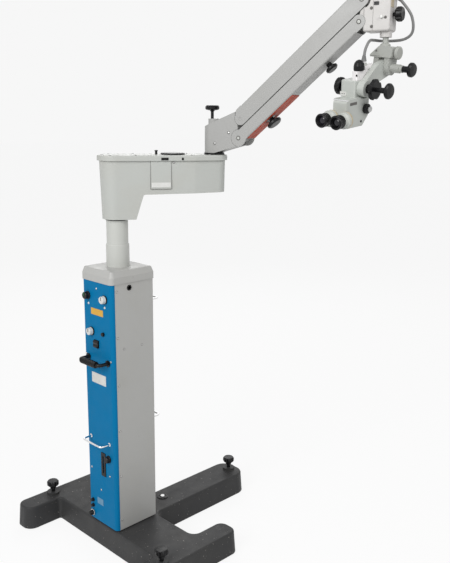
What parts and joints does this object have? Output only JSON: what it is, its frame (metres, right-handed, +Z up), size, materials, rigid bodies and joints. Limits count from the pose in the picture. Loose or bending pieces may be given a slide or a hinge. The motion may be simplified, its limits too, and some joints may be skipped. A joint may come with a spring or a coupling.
{
  "type": "surgical_microscope",
  "caption": "Surgical microscope on a floor stand with a cast base, lifting column, folding spring arm and binocular head",
  "frame": {"origin": "on the floor, on the axis of the lift tube in the middle of the column", "axes": "+Z up, -Y towards the user in front of the blue control panel, +Y along the long rear leg, +X to the right when facing the panel"},
  "size_m": [1.174, 0.8, 1.846],
  "materials": {
    "casting_paint": "textured",
    "cover_paint": "satin",
    "panel_blue": "satin",
    "scope_paint": "satin",
    "steel": "brushed",
    "bright_steel": "polished",
    "black_plastic": "satin",
    "control_white": "gloss",
    "cable_grey": "matte",
    "wheel_rubber": "matte"
  },
  "bodies": {
    "stand_base": {"base_casting": "casting_paint", "column_mast": "steel", "column_casing": "cover_paint", "front_panel": "panel_blue", "column_cap": "cover_paint", "guide_collar": "bright_steel", "gas_spring_cylinder": "steel", "power_unit": "steel", "upper_handle": "black_plastic", "wire_handles": "bright_steel", "mains_inlet": "black_plastic", "slot_plate": "black_plastic"},
    "castor_fork_left": {"castor_fork_left": "steel"},
    "castor_wheel_left": {"castor_wheel_left": "wheel_rubber"},
    "castor_fork_right": {"castor_fork_right": "steel"},
    "castor_wheel_right": {"castor_wheel_right": "wheel_rubber"},
    "castor_fork_rear": {"castor_fork_rear": "steel"},
    "castor_wheel_rear": {"castor_wheel_rear": "wheel_rubber"},
    "floor_lock_left": {"lock_screw_left": "black_plastic"},
    "floor_lock_right": {"lock_screw_right": "black_plastic"},
    "floor_lock_rear": {"lock_screw_rear": "black_plastic"},
    "panel_knob_left": {"panel_knob_left": "black_plastic"},
    "panel_knob_right": {"panel_knob_right": "control_white"},
    "panel_knob_middle": {"panel_knob_middle": "control_white"},
    "lift_clamp_knob": {"lift_clamp_knob": "black_plastic"},
    "push_button": {"push_button": "black_plastic"},
    "rocker_switch": {"rocker_switch": "black_plastic"},
    "lift_column": {"lift_tube": "steel", "gas_spring_rod": "steel"},
    "first_arm": {"first_arm": "cover_paint", "first_arm_lid": "cover_paint", "lid_cap": "black_plastic", "elbow_bearing": "black_plastic"},
    "elbow": {"elbow_bracket": "cover_paint"},
    "elbow_knob": {"elbow_knob": "black_plastic"},
    "lower_link": {"lower_link": "cover_paint", "balance_spring": "steel", "spring_rod": "steel"},
    "upper_link": {"upper_link": "cover_paint"},
    "arm_knob_rear": {"arm_knob_rear": "black_plastic"},
    "arm_knob_front": {"arm_knob_front": "black_plastic"},
    "head": {"head_block": "cover_paint", "light_cable": "cable_grey"},
    "head_knob": {"head_knob": "black_plastic"},
    "coupling": {"coupling": "scope_paint"},
    "coupling_clamp": {"coupling_clamp": "black_plastic"},
    "tilt_knob": {"tilt_knob": "black_plastic"},
    "carrier": {"carrier_arm": "scope_paint"},
    "microscope": {"changer_body": "scope_paint", "light_housing": "scope_paint", "objective": "scope_paint", "bino_body": "scope_paint"},
    "tilt_clamp": {"star_clamp": "black_plastic"},
    "changer_shaft": {"changer_shaft": "black_plastic"},
    "lamp_knob": {"lamp_knob": "black_plastic"},
    "eye_tube_right": {"eye_tube_right": "scope_paint"},
    "eye_tube_left": {"eye_tube_left": "scope_paint"},
    "pd_knob": {"pd_knob": "black_plastic"},
    "eyepiece_right": {"eyepiece_right": "black_plastic"},
    "eyepiece_left": {"eyepiece_left": "black_plastic"}
  },
  "joints": [
    {"name": "castor_swivel_left", "type": "hinge", "parent": "stand_base", "child": "castor_fork_left", "pos_m": [-0.31, -0.17, 0.055], "axis": [0, 0, 1], "continuous": true},
    {"name": "castor_roll_left", "type": "hinge", "parent": "castor_fork_left", "child": "castor_wheel_left", "pos_m": [-0.316, -0.17, 0.0206], "axis": [0, 1, 0], "continuous": true},
    {"name": "castor_swivel_right", "type": "hinge", "parent": "stand_base", "child": "castor_fork_right", "pos_m": [0.31, -0.17, 0.055], "axis": [0, 0, 1], "continuous": true},
    {"name": "castor_roll_right", "type": "hinge", "parent": "castor_fork_right", "child": "castor_wheel_right", "pos_m": [0.304, -0.17, 0.0206], "axis": [0, 1, 0], "continuous": true},
    {"name": "castor_swivel_rear", "type": "hinge", "parent": "stand_base", "child": "castor_fork_rear", "pos_m": [0.006, 0.44, 0.055], "axis": [0, 0, 1], "continuous": true},
    {"name": "castor_roll_rear", "type": "hinge", "parent": "castor_fork_rear", "child": "castor_wheel_rear", "pos_m": [0, 0.44, 0.0206], "axis": [0, 1, 0], "continuous": true},
    {"name": "floor_lock_slide_left", "type": "slide", "parent": "stand_base", "child": "floor_lock_left", "axis": [0, 0, 1], "range_m": [0, 0.008]},
    {"name": "floor_lock_slide_right", "type": "slide", "parent": "stand_base", "child": "floor_lock_right", "axis": [0, 0, 1], "range_m": [0, 0.008]},
    {"name": "floor_lock_slide_rear", "type": "slide", "parent": "stand_base", "child": "floor_lock_rear", "axis": [0, 0, 1], "range_m": [0, 0.008]},
    {"name": "panel_knob_turn_left", "type": "hinge", "parent": "stand_base", "child": "panel_knob_left", "pos_m": [-0.048, -0.09, 0.906], "axis": [0, -1, 0], "range_deg": [-135, 135]},
    {"name": "panel_knob_turn_right", "type": "hinge", "parent": "stand_base", "child": "panel_knob_right", "pos_m": [0.044, -0.09, 0.906], "axis": [0, -1, 0], "range_deg": [-135, 135]},
    {"name": "panel_knob_turn_middle", "type": "hinge", "parent": "stand_base", "child": "panel_knob_middle", "pos_m": [-0.032, -0.09, 0.786], "axis": [0, -1, 0], "range_deg": [-135, 135]},
    {"name": "lift_clamp_turn", "type": "hinge", "parent": "stand_base", "child": "lift_clamp_knob", "pos_m": [0.043, -0.09, 0.349], "axis": [0, -1, 0], "range_deg": [-90, 90]},
    {"name": "push_button_press", "type": "slide", "parent": "stand_base", "child": "push_button", "axis": [0, 1, 0], "range_m": [0, 0.003], "stiffness_N_per_m": 600, "springref_m": -0.001},
    {"name": "rocker_tip", "type": "hinge", "parent": "stand_base", "child": "rocker_switch", "pos_m": [-0.007, -0.088, 0.746], "axis": [1, 0, 0], "range_deg": [-8, 8]},
    {"name": "column_lift", "type": "slide", "parent": "stand_base", "child": "lift_column", "axis": [0, 0, 1], "range_m": [-0.05, 0.25]},
    {"name": "first_arm_swivel", "type": "hinge", "parent": "lift_column", "child": "first_arm", "pos_m": [0, 0, 1.2], "axis": [0, 0, 1], "range_deg": [-150, 150]},
    {"name": "elbow_swivel", "type": "hinge", "parent": "first_arm", "child": "elbow", "pos_m": [0.17592, 0.27089, 1.369], "axis": [0, 0, 1], "range_deg": [-66, 150]},
    {"name": "elbow_knob_turn", "type": "hinge", "parent": "elbow", "child": "elbow_knob", "pos_m": [0.16819, 0.26882, 1.478], "axis": [0, 0, 1], "range_deg": [-90, 90]},
    {"name": "spring_arm_lift", "type": "hinge", "parent": "elbow", "child": "lower_link", "pos_m": [0.27927, 0.29858, 1.419], "axis": [0.2588, -0.9659, 0], "range_deg": [-70, 2]},
    {"name": "upper_link_turn", "type": "hinge", "parent": "elbow", "child": "upper_link", "pos_m": [0.28507, 0.30014, 1.479], "axis": [0.2588, -0.9659, 0], "range_deg": [-70, 2]},
    {"name": "arm_knob_rear_turn", "type": "hinge", "parent": "lower_link", "child": "arm_knob_rear", "pos_m": [0.37601, 0.32451, 1.48054], "axis": [-0.632, -0.1694, 0.7562], "range_deg": [-90, 90]},
    {"name": "arm_knob_front_turn", "type": "hinge", "parent": "lower_link", "child": "arm_knob_front", "pos_m": [0.55497, 0.37246, 1.64085], "axis": [-0.632, -0.1694, 0.7562], "range_deg": [-90, 90]},
    {"name": "head_level", "type": "hinge", "parent": "lower_link", "child": "head", "pos_m": [0.65106, 0.3982, 1.75206], "axis": [0.2588, -0.9659, 0], "range_deg": [-2, 70]},
    {"name": "head_knob_turn", "type": "hinge", "parent": "head", "child": "head_knob", "pos_m": [0.74581, 0.42359, 1.77], "axis": [0.9659, 0.2588, 0], "range_deg": [-90, 90]},
    {"name": "suspension_swivel", "type": "hinge", "parent": "head", "child": "coupling", "pos_m": [0.71973, 0.41661, 1.627], "axis": [0, 0, 1], "range_deg": [-90, 90], "deforming": ["light_cable"]},
    {"name": "coupling_clamp_turn", "type": "hinge", "parent": "coupling", "child": "coupling_clamp", "pos_m": [0.75807, 0.41661, 1.66508], "axis": [0.9942, 0, -0.108], "range_deg": [-45, 45]},
    {"name": "tilt_knob_turn", "type": "hinge", "parent": "coupling", "child": "tilt_knob", "pos_m": [0.78236, 0.41661, 1.6202], "axis": [0.9942, 0, -0.108], "range_deg": [-90, 90]},
    {"name": "carrier_tilt", "type": "hinge", "parent": "coupling", "child": "carrier", "pos_m": [0.71973, 0.41661, 1.627], "axis": [0.9942, 0, -0.108], "range_deg": [-18, 45], "deforming": ["light_cable"]},
    {"name": "microscope_tilt", "type": "hinge", "parent": "carrier", "child": "microscope", "pos_m": [0.7132, 0.33203, 1.56688], "axis": [0.9942, 0, -0.108], "range_deg": [-1, 25], "deforming": ["light_cable"]},
    {"name": "tilt_clamp_turn", "type": "hinge", "parent": "carrier", "child": "tilt_clamp", "pos_m": [0.7132, 0.33203, 1.56688], "axis": [0.9942, 0, -0.108], "range_deg": [-60, 60]},
    {"name": "magnification_turn", "type": "hinge", "parent": "microscope", "child": "changer_shaft", "pos_m": [0.7132, 0.33203, 1.56688], "axis": [0.9942, 0, -0.108], "continuous": true},
    {"name": "lamp_knob_turn", "type": "hinge", "parent": "microscope", "child": "lamp_knob", "pos_m": [0.69934, 0.32262, 1.61526], "axis": [0.1067, -0.1564, 0.9819], "range_deg": [-135, 135]},
    {"name": "eye_spacing_right", "type": "slide", "parent": "microscope", "child": "eye_tube_right", "axis": [0.9942, 0, -0.108], "range_m": [-0.0005, 0.012]},
    {"name": "eye_spacing_left", "type": "slide", "parent": "microscope", "child": "eye_tube_left", "axis": [-0.9942, 0, 0.108], "range_m": [-0.0005, 0.012]},
    {"name": "spacing_knob_turn", "type": "hinge", "parent": "microscope", "child": "pd_knob", "pos_m": [0.70928, 0.34778, 1.51227], "axis": [0.9942, 0, -0.108], "range_deg": [-10, 180]},
    {"name": "dioptre_turn_right", "type": "hinge", "parent": "eye_tube_right", "child": "eyepiece_right", "pos_m": [0.7074, 0.24005, 1.47647], "axis": [-0.0169, -0.9877, -0.1555], "range_deg": [-90, 90]},
    {"name": "dioptre_turn_left", "type": "hinge", "parent": "eye_tube_left", "child": "eyepiece_left", "pos_m": [0.65769, 0.24005, 1.48187], "axis": [-0.0169, -0.9877, -0.1555], "range_deg": [-90, 90]}
  ],
  "couplings": [
    {"joint": "upper_link_turn", "follows": "spring_arm_lift", "ratio": 1},
    {"joint": "head_level", "follows": "spring_arm_lift", "ratio": -1},
    {"joint": "eye_spacing_left", "follows": "eye_spacing_right", "ratio": 1},
    {"joint": "spacing_knob_turn", "follows": "eye_spacing_right", "rad_per_m": 250}
  ]
}
